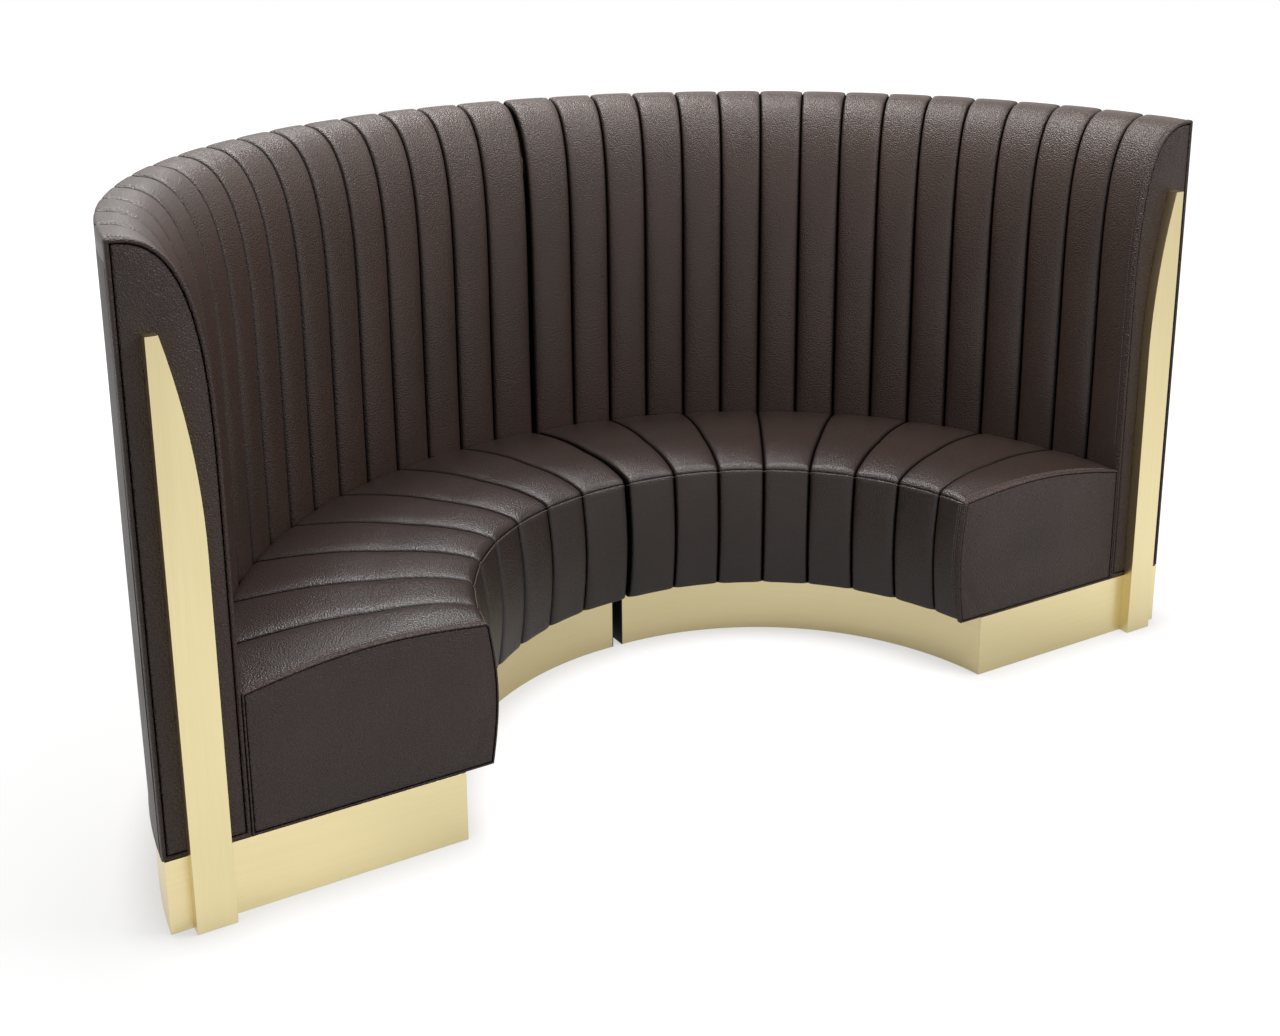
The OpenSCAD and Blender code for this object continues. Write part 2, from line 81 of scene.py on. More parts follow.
BODY_X = BODY_GAP / 2 - MODULE_SHIFT
BODY_END = END_Y + PANEL_T
MID_Y = 640.5
BOTTOM = PLINTH_H + SOFT
SEAT_BACK_R = OUTER_R - BACK_T - 2 * SOFT
BODY_END_X = math.sqrt(OUTER_R ** 2 - BODY_END ** 2)
BACK_SIDE_X = BODY_END_X - BACK_T - END_EXTRA


# Small helpers
def mix(a, b, t):
    return a + (b - a) * t


def smooth(t):
    t = np.clip(t, 0, 1)
    return t * t * (3 - 2 * t)


def to_world(points, side):
    p = np.array(points, float)
    return np.stack([side * (p[..., 0] + MODULE_SHIFT), p[..., 1] - MID_Y, p[..., 2]], -1) / 1000


# Faces whose mean seam share is above this get the near-black seam leather, a painted shade deep in
# the seams.
SEAM_SHADE_CORE = 0.72


def make_piece(name, side, points, faces, material, sharp, replaces=(),
               seam=None):
    """Piece from module points; `seam` is each point's share of painted shade in a sewn seam."""
    mesh = bpy.data.meshes.new(name)
    mesh.from_pydata(to_world(points, side).reshape(-1, 3).tolist(), [], [list(f) for f in faces])
    bm = bmesh.new()
    bm.from_mesh(mesh)
    bmesh.ops.recalc_face_normals(bm, faces=bm.faces)
    bm.to_mesh(mesh)
    bm.free()
    mesh.shade_smooth()
    mesh.set_sharp_from_angle(angle=math.radians(sharp))
    mesh.materials.append(material)
    # The seam share is painted shade: the leather darkens with it, and the faces deepest in a seam
    # get the dark seam material.
    if seam is not None:
        share = np.ravel(seam)
        values = mesh.attributes.new("seam", "FLOAT", "POINT").data
        values.foreach_set("value", share.astype(np.float32))
        mesh.materials.append(leather_seam_painted_shade)
        sewn = [int(share[list(f)].mean() > SEAM_SHADE_CORE) for f in faces]
        mesh.polygons.foreach_set("material_index", sewn)
    obj = bpy.data.objects.new(name, mesh)
    bpy.context.scene.collection.objects.link(obj)
    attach(obj, "root")
    if replaces:
        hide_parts(*replaces)
    return obj


def loft_faces(count, ring, closed=True):
    """Quads between `count` rings of `ring` points each."""
    i = np.arange(count - 1)[:, None] * ring
    j = np.arange(ring if closed else ring - 1)[None, :]
    k = (j + 1) % ring
    return np.stack([i + j, i + j + ring, i + k + ring, i + k], -1).reshape(-1, 4).tolist()


# Cloth
PRESSURE = 4.0
CLOTH_FRAMES = 20


def inflate(points, faces, sewn, slack):
    """Moves of a skin that is sewn down at some points and blown up by Blender's Cloth."""
    scene = bpy.context.scene
    mesh = bpy.data.meshes.new("skin")
    mesh.from_pydata((points / 1000).tolist(), [], faces)
    obj = bpy.data.objects.new("skin", mesh)
    scene.collection.objects.link(obj)
    obj.vertex_groups.new(name="sewn").add([int(i) for i in sewn], 1.0, "REPLACE")
    cloth = obj.modifiers.new("cloth", "CLOTH")
    cloth.point_cache.frame_end = CLOTH_FRAMES
    settings = cloth.settings
    settings.quality = 5
    settings.mass = 0.3
    settings.tension_stiffness = 30
    settings.compression_stiffness = 30
    settings.shear_stiffness = 15
    settings.bending_stiffness = 1.5
    settings.air_damping = 5
    settings.vertex_group_mass = "sewn"
    settings.use_pressure = True
    settings.uniform_pressure_force = PRESSURE
    settings.shrink_min = -slack
    settings.effector_weights.gravity = 0
    for number in range(1, CLOTH_FRAMES + 1):
        scene.frame_set(number)
    blown = obj.evaluated_get(bpy.context.evaluated_depsgraph_get())
    moved = np.empty(3 * len(points), np.float32)
    blown.data.vertices.foreach_get("co", moved)
    scene.frame_set(1)
    bpy.data.objects.remove(obj)
    bpy.data.meshes.remove(mesh)
    return moved.reshape(-1, 3) * 1000.0 - points


def capped(moves, cap):
    """Moves shortened smoothly, so that none is longer than `cap`."""
    length = np.linalg.norm(moves, axis=-1, keepdims=True)
    shorter = cap * np.tanh(length / cap) / np.maximum(length, 1e-9)
    return moves * np.where(length > 1e-9, shorter, 1)


def spline_weights(knots, at):
    """Matrix from values at the knots to a natural cubic spline's values at `at`."""
    knots, at = np.asarray(knots, float), np.asarray(at, float)
    count = len(knots)
    h = np.diff(knots)
    left, right = np.eye(count), np.zeros((count, count))
    for i in range(1, count - 1):
        left[i, i - 1:i + 2] = h[i - 1], 2 * (h[i - 1] + h[i]), h[i]
        right[i, i - 1:i + 2] = 6 / h[i - 1], -6 / h[i - 1] - 6 / h[i], 6 / h[i]
    bend = np.linalg.solve(left, right)
    i = np.clip(np.searchsorted(knots, at) - 1, 0, count - 2)
    u = ((at - knots[i]) / h[i])[:, None]
    square = (h[i] ** 2 / 6)[:, None]
    return ((1 - u) * np.eye(count)[i] + u * np.eye(count)[i + 1]
            + square * (((1 - u) ** 3 - (1 - u)) * bend[i] + (u ** 3 - u) * bend[i + 1]))


# Node helpers
def new_material(name):
    m = bpy.data.materials.new(name)
    m.use_nodes = True
    m.node_tree.nodes.clear()
    return m, m.node_tree.nodes, m.node_tree.links


def node(nodes, kind, **values):
    n = nodes.new(kind)
    for key, value in values.items():
        if key in n.inputs:
            n.inputs[key].default_value = value
        else:
            setattr(n, key, value)
    return n


def srgb(r, g, b):
    def lin(c):
        c /= 255
        return c / 12.92 if c <= 0.04045 else ((c + 0.055) / 1.055) ** 2.4
    return (lin(r), lin(g), lin(b), 1.0)


def ramp(nodes, links, source, stops):
    """Colour ramp between two stops, each of which is (position, colour)."""
    r = nodes.new("ShaderNodeValToRGB")
    els = r.color_ramp.elements
    for el, (pos, col) in zip(els, stops):
        el.position = pos
        el.color = col
    links.new(source, r.inputs["Fac"])
    return r.outputs["Color"]


def grey(v):
    return (v, v, v, 1)


def math_node(nodes, links, op, a, b):
    n = nodes.new("ShaderNodeMath")
    n.operation = op
    for i, v in enumerate((a, b)):
        if isinstance(v, float):
            n.inputs[i].default_value = v
        else:
            links.new(v, n.inputs[i])
    return n.outputs[0]


def scaled_coords(nodes, links, scale):
    coords = nodes.new("ShaderNodeTexCoord")
    mapping = nodes.new("ShaderNodeMapping")
    mapping.inputs["Scale"].default_value = scale
    links.new(coords.outputs["Object"], mapping.inputs["Vector"])
    return mapping.outputs["Vector"]


# Materials
def leather_material(name, base, deep, grain=1.0, rough=0.4, gloss=0.36):
    """Pebbled leather with painted shade towards its seams: the seam attribute darkens its colour
    there.
    """
    m, nodes, links = new_material(name)
    vec = scaled_coords(nodes, links, (1, 1, 1))
    out = nodes.new("ShaderNodeOutputMaterial")
    bsdf = node(nodes, "ShaderNodeBsdfPrincipled")
    bsdf.inputs["Specular IOR Level"].default_value = gloss
    pebble = node(nodes, "ShaderNodeTexVoronoi", Scale=310.0, Randomness=1.0)
    pebble.feature = "SMOOTH_F1"
    pebble.inputs["Smoothness"].default_value = 0.45
    crease = node(nodes, "ShaderNodeTexNoise", Scale=520.0, Detail=3.0, Roughness=0.6)
    patch = node(nodes, "ShaderNodeTexNoise", Scale=5.0, Detail=4.0, Roughness=0.55)
    for t in (pebble, crease, patch):
        links.new(vec, t.inputs["Vector"])
    cells = math_node(nodes, links, "MULTIPLY", pebble.outputs["Distance"], 1.5)
    creases = math_node(nodes, links, "MULTIPLY", crease.outputs["Fac"], 0.55)
    height = math_node(nodes, links, "SUBTRACT", creases, cells)
    bump = node(nodes, "ShaderNodeBump", Strength=0.3 * grain, Distance=0.0014)
    links.new(height, bump.inputs["Height"])
    links.new(bump.outputs["Normal"], bsdf.inputs["Normal"])
    tone = ramp(nodes, links, patch.outputs["Fac"], [(0.3, deep), (0.7, base)])
    dark = ramp(nodes, links, pebble.outputs["Distance"], [(0.15, grey(1.0)), (0.75, grey(0.72))])
    mult = nodes.new("ShaderNodeMix")
    mult.data_type = "RGBA"
    mult.blend_type = "MULTIPLY"
    mult.inputs["Factor"].default_value = 0.55
    links.new(tone, mult.inputs["A"])
    links.new(dark, mult.inputs["B"])
    # Painted shade: the seam attribute mixes the colour towards near black in seams and creases.
    seam = node(nodes, "ShaderNodeAttribute", attribute_name="seam")
    shade = nodes.new("ShaderNodeMix")
    shade.data_type = "RGBA"
    links.new(seam.outputs["Fac"], shade.inputs["Factor"])
    links.new(mult.outputs["Result"], shade.inputs["A"])
    shade.inputs["B"].default_value = srgb(12, 9, 9)
    links.new(shade.outputs["Result"], bsdf.inputs["Base Color"])
    polish = [(0.25, grey(rough + 0.05)), (0.75, grey(rough - 0.05))]
    links.new(ramp(nodes, links, patch.outputs["Fac"], polish), bsdf.inputs["Roughness"])
    links.new(bsdf.outputs["BSDF"], out.inputs["Surface"])
    return m


def brass_material(name, base, deep, stretch, rough=0.34):
    """Brushed brass with its fine lines along the axis that `stretch` scales least."""
    m, nodes, links = new_material(name)
    out = nodes.new("ShaderNodeOutputMaterial")
    bsdf = node(nodes, "ShaderNodeBsdfPrincipled", Metallic=1.0)
    lines = node(nodes, "ShaderNodeTexNoise", Scale=1.0, Detail=4.0, Roughness=0.7)
    links.new(scaled_coords(nodes, links, stretch), lines.inputs["Vector"])
    cloud = node(nodes, "ShaderNodeTexNoise", Scale=2.2, Detail=2.0, Roughness=0.5)
    links.new(scaled_coords(nodes, links, (1, 1, 1)), cloud.inputs["Vector"])
    both = math_node(nodes, links, "ADD",
                     math_node(nodes, links, "MULTIPLY", lines.outputs["Fac"], 0.6),
                     math_node(nodes, links, "MULTIPLY", cloud.outputs["Fac"], 0.4))
    links.new(ramp(nodes, links, both, [(0.35, deep), (0.65, base)]), bsdf.inputs["Base Color"])
    polish = [(0.3, grey(rough + 0.06)), (0.7, grey(rough - 0.06))]
    links.new(ramp(nodes, links, lines.outputs["Fac"], polish), bsdf.inputs["Roughness"])
    edge = node(nodes, "ShaderNodeBevel", Radius=0.0012)
    edge.samples = 4
    bump = node(nodes, "ShaderNodeBump", Strength=0.08, Distance=0.0004)
    links.new(lines.outputs["Fac"], bump.inputs["Height"])
    links.new(edge.outputs["Normal"], bump.inputs["Normal"])
    links.new(bump.outputs["Normal"], bsdf.inputs["Normal"])
    links.new(bsdf.outputs["BSDF"], out.inputs["Surface"])
    return m


def plywood_material(name):
    m, nodes, links = new_material(name)
    out = nodes.new("ShaderNodeOutputMaterial")
    bsdf = node(nodes, "ShaderNodeBsdfPrincipled", Roughness=0.62)
    wave = node(nodes, "ShaderNodeTexWave", Scale=1.0, Distortion=4.0, Detail=3.0)
    wave.bands_direction = "X"
    links.new(scaled_coords(nodes, links, (22, 3, 60)), wave.inputs["Vector"])
    fibre = node(nodes, "ShaderNodeTexNoise", Scale=1.0, Detail=5.0, Roughness=0.7)
    links.new(scaled_coords(nodes, links, (160, 18, 700)), fibre.inputs["Vector"])
    fac = math_node(nodes, links, "ADD",
                    math_node(nodes, links, "MULTIPLY", wave.outputs["Fac"], 0.45),
                    math_node(nodes, links, "MULTIPLY", fibre.outputs["Fac"], 0.55))
    links.new(ramp(nodes, links, fac, [(0.3, srgb(176, 141, 98)), (0.7, srgb(214, 184, 140))]),
              bsdf.inputs["Base Color"])
    bump = node(nodes, "ShaderNodeBump", Strength=0.15, Distance=0.0005)
    links.new(fibre.outputs["Fac"], bump.inputs["Height"])
    links.new(bump.outputs["Normal"], bsdf.inputs["Normal"])
    links.new(bsdf.outputs["BSDF"], out.inputs["Surface"])
    return m


def rough_material(name, base, deep, scale, metallic, rough):
    """Speckled finish for steel and for black board."""
    m, nodes, links = new_material(name)
    out = nodes.new("ShaderNodeOutputMaterial")
    bsdf = node(nodes, "ShaderNodeBsdfPrincipled", Metallic=metallic)
    grain = node(nodes, "ShaderNodeTexNoise", Scale=scale, Detail=4.0, Roughness=0.65)
    links.new(scaled_coords(nodes, links, (1, 1, 1)), grain.inputs["Vector"])
    tones = [(0.35, deep), (0.65, base)]
    polish = [(0.3, grey(rough + 0.08)), (0.7, grey(rough - 0.08))]
    links.new(ramp(nodes, links, grain.outputs["Fac"], tones), bsdf.inputs["Base Color"])
    links.new(ramp(nodes, links, grain.outputs["Fac"], polish), bsdf.inputs["Roughness"])
    bump = node(nodes, "ShaderNodeBump", Strength=0.12, Distance=0.0003)
    links.new(grain.outputs["Fac"], bump.inputs["Height"])
    links.new(bump.outputs["Normal"], bsdf.inputs["Normal"])
    links.new(bsdf.outputs["BSDF"], out.inputs["Surface"])
    return m


# One brown leather in several copies: the back's and the end faces' copies are painted lighter and
# the seat's copy darker, as painted light and shade; grain, roughness and gloss are also set apart.
leather = leather_material("leather_brown", srgb(68, 53, 47), srgb(59, 46, 40),
                           grain=2.0, rough=0.34, gloss=0.4)
leather_seat_painted_shade = leather_material("leather_brown_seat_painted_shade", srgb(54, 43, 39), srgb(46, 36, 32),
                                grain=1.6, rough=0.33, gloss=0.38)
leather_grained = leather_material("leather_brown_grained", srgb(69, 53, 48), srgb(60, 46, 41),
                                   grain=3.8, rough=0.4)
leather_taut = leather_material("leather_brown_taut", srgb(60, 45, 40), srgb(51, 38, 34),
                                grain=1.3, rough=0.44, gloss=0.2)
# Painted shade deep in the seams: near-black leather with almost no gloss.
leather_seam_painted_shade = leather_material("leather_seam_painted_shade", srgb(22, 17, 15), srgb(17, 13, 12),
                                grain=0.5, rough=0.6, gloss=0.05)
thread = rough_material("leather_thread", srgb(126, 112, 105), srgb(98, 87, 81), 900.0, 0.0, 0.6)
# The upright brass is painted a little darker than the level brass, a painted shade on the pillars;
# the direction of the brushing differs for real.
brass_level = brass_material("brass_brushed_level", srgb(238, 223, 176), srgb(230, 214, 165),
                             (4, 4, 900))
brass_upright = brass_material("brass_brushed_upright", srgb(235, 220, 174), srgb(226, 211, 163),
                               (900, 900, 4))
plywood = plywood_material("birch_plywood")
steel = rough_material("zinc_steel", srgb(176, 178, 180), srgb(150, 152, 155), 240.0, 1.0, 0.38)
black = rough_material("black_board", srgb(30, 28, 28), srgb(20, 19, 19), 180.0, 0.0, 0.55)


# Channelled cushions
def fullness(f):
    return np.sqrt(np.clip(1 - np.abs(2 * f - 1) ** 7, 0, 1))


def joint_angle(r):
    return np.arcsin(BODY_X / r)


def end_angle(r):
    return np.arccos(BODY_END / r)


def station_angle(r, s, n, step):
    first = mix(joint_angle(r), step, s)
    last = mix((n - 1) * step, end_angle(r), s - (n - 1))
    return np.where(s <= 1, first, np.where(s >= n - 1, last, s * step))


def channel_full(s, n, edge):
    """Fullness at station s; the last channel runs out to `edge` beside the end panel."""
    f = s - np.floor(s)
    full = fullness(np.where(s >= n, 1.0, f))
    tail = 1 - (1 - edge) * np.clip((s - n + 0.5) / 0.5, 0, 1) ** 2
    return np.where(s > n - 0.5, tail, full)


SLIT_DEPTH = 6.5
SLIT_W = 2.2
# Reaches in mm of the painted shade beside the channel seams and beside the seat's sewn crease.
SEAM_SHADE_REACH = 4.2
CREASE_SHADE = 2.2
EDGE_SWELL = 9.0


def seam_share(s, n, width, reach):
    """1 in a sewn seam, falling off over `reach` to both sides; the cushion's far end has none."""
    gap = np.abs(s - np.round(s)) * width
    return np.where(s > n - 0.5, 0.0, np.exp(-(gap / reach) ** 2))


def swept_point(row, s, n, step, groove, edge, slit=SLIT_DEPTH):
    """Radius, angle and height at stations s for outline rows, each of which is a radius, a height
    and the outward direction's share of both."""
    drop = groove * (1 - channel_full(s, n, edge))
    k = np.floor(np.minimum(s, n - 0.001))
    near = 1 - np.abs(2 * (s - k) - 1)
    puff = (0.5 * np.sin(row[..., 1] / 83 + 2.3 * k)
            + 0.4 * np.sin(row[..., 0] / 61 + 1.7 * k + row[..., 1] / 151))
    drop = drop - puff * np.clip(near * 3, 0, 1) * np.where((s > 0.02) & (s < n - 0.02), 1, 0)
    drop = drop + slit * seam_share(s, n, row[..., 0] * step, SLIT_W)
    r = row[..., 0] - row[..., 2] * drop
    z = row[..., 1] - row[..., 3] * drop
    return r, station_angle(r, s, n, step), z


def around(r, a, z):
    return np.stack([r * np.sin(a), r * np.cos(a), z], -1)


# Places of the stations inside one channel, closest together beside its seams
SHARES = [0, 0.006, 0.016, 0.032, 0.055, 0.09, 0.14, 0.2, 0.28, 0.36, 0.43]
SHARES = SHARES + [0.5] + [1 - f for f in reversed(SHARES[1:])]


def stations(n):
    return np.array([k + f for k in range(n) for f in SHARES] + [n])


RIM_SEAM_Z = 1275.2
RIM_SEAM_DENT = 1.9


def back_rows():
    """Outline rows from the seat up the lean, over the roll and down the rim, and inner rows."""
    rows = [(BACK_T, z, 1, 0) for z in np.linspace(DECK_TOP + SOFT, LEAN_Z, 18)[:-1]]
    span = BODY_H - LEAN_Z
    angles = [math.asin(u * u) for u in np.linspace(0.02, 0.9, 30)]
    angles += list(np.linspace(angles[-1], math.radians(87), 24)[1:])
    for a in angles:
        depth = BACK_T * math.cos(a) ** ROLL_DEPTH_POWER
        rows.append((depth, LEAN_Z + span * math.sin(a) ** ROLL_Z_POWER, math.cos(a), math.sin(a)))
    rows += [(12, BODY_H, 0, 0.9), (8.5, BODY_H, 0, 0.75)]
    for b in np.radians([0, 18, 36, 54, 72, 90]):
        rows.append((RIM_R * (1 - math.sin(b)), BODY_H - RIM_R * (1 - math.cos(b)), 0, 0.55))
    rows += [(0, RIM_SEAM_Z + 2.8, 0, 0.5), (0.6, RIM_SEAM_Z + 1.2, 0, 0.4),
             (RIM_SEAM_DENT, RIM_SEAM_Z, 0, 0.3), (0.6, RIM_SEAM_Z - 1.2, 0, 0.2),
             (0, RIM_SEAM_Z - 2.8, 0, 0.1), (0, 1262, 0, 0), (0, RAIL_TOP + SOFT, 0, 0)]
    outline = np.array([(OUTER_R - d, z, -nd, nz) for d, z, nd, nz in rows])
    inner = np.array([(RAIL_R - SOFT, RAIL_TOP + SOFT, 0, 0),
                      (SHEET_R - SOFT, SHEET_TOP + SOFT, 0, 0),
                      (SHEET_R - SOFT, DECK_TOP + SOFT, 0, 0)])
    return outline, inner


def seat_front(v):
    return SEAT_FRONT_R - FRONT_SWELL * np.sin(np.pi * v), mix(BOTTOM, SEAT_EDGE_Z, v)


def seat_top(u):
    crown = SEAT_CROWN * np.sin(np.pi * u)
    return mix(SEAT_FRONT_R, SEAT_BACK_R, u), mix(SEAT_EDGE_Z, SEAT_REAR_Z, u) + crown


# Shares of the seat's front and of its top that the rounded edge between them leaves free
FRONT_FROM, FRONT_TO = 0.014, 0.93
TOP_FROM, TOP_TO = 0.04, 0.975
CREASE_AT = 0.4
CREASE_DENT, CREASE_SPREAD = 1.5, 0.03
CREASE_STEPS = (-0.06, -0.04, -0.02, 0, 0.02, 0.04, 0.06)


def seat_rows():
    """Outline rows from the bottom over the front and the top, inner rows, and the crease's row."""
    rows = [(SEAT_FRONT_R + 9, BOTTOM, -0.3, 0), (SEAT_FRONT_R + 4.5, BOTTOM + 0.3, -0.6, -0.4),
            (SEAT_FRONT_R + 1.6, BOTTOM + 1.6, -0.9, -0.6)]
    for v in np.linspace(FRONT_FROM, FRONT_TO, 34):
        r, z = seat_front(v)
        rows.append((r, z, -1, -0.45 * (1 - smooth((v - FRONT_FROM) / 0.06))))
    r0, z0 = seat_front(FRONT_TO)
    r2, z2 = seat_top(TOP_FROM)
    r1, z1 = SEAT_FRONT_R - 2.2, SEAT_EDGE_Z + 3.0
    steps = sorted(list(np.linspace(0, 1, 13)[1:-1]) + [CREASE_AT + d for d in CREASE_STEPS])
    crease_row = None
    for t in steps:
        r = (1 - t) ** 2 * r0 + 2 * t * (1 - t) * r1 + t * t * r2
        z = (1 - t) ** 2 * z0 + 2 * t * (1 - t) * z1 + t * t * z2
        nr, nz = -math.cos(t * math.pi / 2), math.sin(t * math.pi / 2)
        dent = CREASE_DENT * math.exp(-((t - CREASE_AT) / CREASE_SPREAD) ** 2)
        if abs(t - CREASE_AT) < 1e-6:
            crease_row = len(rows)
        rows.append((r - nr * dent, z - nz * dent, nr, nz))
    for u in np.linspace(TOP_FROM, TOP_TO, 34):
        r, z = seat_top(u)
        rows.append((r, z, 0, 1))
    r, z = seat_top(0.99)
    rows += [(r, z - 1.2, 0, 1), (SEAT_BACK_R - 1, z - 4, 0, 0.8), (SEAT_BACK_R, z - 9, 0, 0.6)]
    inner = np.array([(SEAT_BACK_R, DECK_TOP + SOFT, 0, 0),
                      (SEAT_PANEL_R - SOFT, DECK_TOP + SOFT, 0, 0),
                      (SEAT_PANEL_R - SOFT, BOTTOM, 0, 0)])
    return np.array(rows), inner, crease_row


EVEN_ROWS = 5.0


def evening(rows, held):
    """Weights that even a skin's moves out along its length, between the rows that are held."""
    piece = np.cumsum(held)
    apart = (rows[:, None] - rows[None]) / EVEN_ROWS
    near = np.exp(-apart ** 2) * (piece[:, None] == piece[None])
    near[held] = 0
    near[:, held] = 0
    near[held, held] = 1
    return near / near.sum(1, keepdims=True)


# Places inside one channel of the coarse skin that Cloth blows up
KNOTS = np.array([0, 0.035, 0.11, 0.22, 0.36, 0.5, 0.64, 0.78, 0.89, 0.965, 1.0])
PUFF_CAP = 7.0


class Cushion:
    """Channelled cushion: an outline swept round the arc and blown up between its seams."""

    def __init__(self, outline, inner, n, step, groove, edge, first, last, seams=()):
        self.outline, self.inner, self.shape = outline, inner, (n, step, groove, edge)
        self.n, self.first, self.last, self.seams = n, first, last, seams
        self.rows = np.unique([*range(first, last, 2), last, *seams])
        s = np.append((np.arange(n)[:, None] + KNOTS[:-1]).ravel(), n)
        r, a, z = swept_point(outline[self.rows][None], s[:, None], *self.shape, slit=0.0)
        columns, ring = r.shape
        points = around(r, a, z)
        index = np.arange(columns * ring).reshape(columns, ring)
        knot = len(KNOTS) - 1
        across = [index[:, i].ravel() for i in range(ring) if self.rows[i] in (first, last, *seams)]
        sewn = np.unique(np.concatenate([index[::knot].ravel(), *across]))
        faces = loft_faces(columns, ring, closed=False)
        moves = inflate(points.reshape(-1, 3), faces, sewn, 0.0).reshape(points.shape)
        held = np.linalg.norm(moves, axis=(0, 2)) < 1e-6
        evened = np.einsum("qr,srk->sqk", evening(self.rows, held), moves)
        moves = capped(evened, PUFF_CAP)
        radial = moves[..., 0] * np.sin(a) + moves[..., 1] * np.cos(a)
        along = moves[..., 0] * np.cos(a) - moves[..., 1] * np.sin(a)
        self.moves = np.stack([radial, along, moves[..., 2]], -1)

    def swell(self, s, rows):
        """Extra height behind the seat's front edge, which fades out at the end plane."""
        if not self.seams:
            return 0.0
        u = np.clip((self.outline[rows, 0] - SEAT_FRONT_R) / (SEAT_BACK_R - SEAT_FRONT_R), 0, 1)
        rise = EDGE_SWELL * np.sin(np.pi * np.clip(u / 0.42, 0, 1) ** 0.6)
        rise = np.where(self.outline[rows, 3] > 0.5, rise, 0)
        return rise[None] * (1 - smooth((s[:, None] - self.n + 0.6) / 0.6))

    def skin(self, s, rows):
        """Points at every pair of station and outline row, with the blown-up skin's moves."""
        s, rows = np.atleast_1d(s).astype(float), np.atleast_1d(rows)
        r, a, z = swept_point(self.outline[rows][None], s[:, None], *self.shape)
        k = np.clip(np.floor(s).astype(int), 0, self.n - 1)
        knot = len(KNOTS) - 1
        across = spline_weights(KNOTS, s - k)
        down = spline_weights(self.rows, np.clip(rows, self.first, self.last))
        picked = self.moves[k[:, None] * knot + np.arange(knot + 1)]
        moves = np.einsum("sk,skrc,qr->sqc", across, picked, down)
        moves[:, (rows <= self.first) | (rows >= self.last)] = 0
        r = r + moves[..., 0]
        return around(r, a + moves[..., 1] / r, z + moves[..., 2] + self.swell(s, rows))

    def solid(self):
        """Closed form of the whole cushion, with each point's share of painted shade in its seams
        and creases.
        """
        s = stations(self.n)
        count = len(self.outline)
        skin = self.skin(s, np.arange(count))
        r, a, z = swept_point(self.inner[None], s[:, None], *self.shape)
        points = np.concatenate([skin, around(r, a, z)], 1)
        radii = np.concatenate([self.outline[:, 0], self.inner[:, 0]])
        # Painted shade, darkest in the channel seams and along the seat's sewn crease.
        seam = seam_share(s[:, None], self.n, radii[None] * self.shape[1], SEAM_SHADE_REACH)
        for row in self.seams:
            apart = np.linalg.norm(self.outline[:, :2] - self.outline[row, :2], axis=1)
            share = 0.85 * np.exp(-(apart / CREASE_SHADE) ** 2)
            seam[:, :count] = np.maximum(seam[:, :count], share)
        ring = count + len(self.inner)
        faces = loft_faces(len(s), ring)
        faces.append(list(range(ring)))
        faces.append([(len(s) - 1) * ring + j for j in reversed(range(ring))])
        return points, faces, seam

    def end_path(self, rows, distance):
        """Path on the skin at a distance from the end plane, with outward directions."""
        n, step, groove, edge = self.shape
        path, outward = [], []
        for row in rows:
            radius, _, out_r, out_z = self.outline[row]
            r = radius
            for _ in range(3):
                a = math.acos((BODY_END + distance) / r)
                s = (n - 1) + (a - (n - 1) * step) / (float(end_angle(r)) - (n - 1) * step)
                r = radius - out_r * groove * (1 - float(channel_full(s, n, edge)))
            path.append(self.skin(s, row)[0, 0])
            outward.append((out_r * math.sin(a), out_r * math.cos(a), out_z))
        return path, outward

    def cross_path(self, row):
        """Path across all channels along one outline row, with outward directions."""
        s = stations(self.n)
        radius, _, out_r, out_z = self.outline[row]
        angle = station_angle(np.full(len(s), radius), s, self.n, self.shape[1])
        outward = around(out_r, angle, np.full(len(s), out_z))
        return self.skin(s, row)[:, 0], outward


# End faces: outline, inset rings, welt and panel
# Reach in mm of the painted shade in the crease between each end roll and its pad.
CREASE_SHADE_REACH = 0.9
OUTLINE_STEP = 7.0
PAD_GRID = 15.0
PAD_SLACK = 0.004
PAD_WAVE = 0.35
PILLAR_FADE = 26


def back_side_outline():
    top = BODY_H
    depth = BACK_T + END_EXTRA
    pts = [(BACK_SIDE_X, z) for z in np.linspace(BOTTOM, LEAN_Z, 24)]
    angles = [math.asin(u * u) for u in np.linspace(0.05, 0.9, 26)]
    angles += list(np.linspace(angles[-1], math.radians(88), 22)[1:])
    for a in angles:
        pts.append((BODY_END_X - depth * math.cos(a) ** ROLL_DEPTH_POWER,
                    LEAN_Z + (top - LEAN_Z) * math.sin(a) ** ROLL_Z_POWER))
    for b in np.radians([0, 22, 45, 68, 90]):
        pts.append((BODY_END_X - RIM_R * (1 - math.sin(b)), top - RIM_R * (1 - math.cos(b))))
    pts += [(BODY_END_X, z) for z in np.linspace(top - RIM_R, BOTTOM, 34)[1:]]
    return np.array(pts)


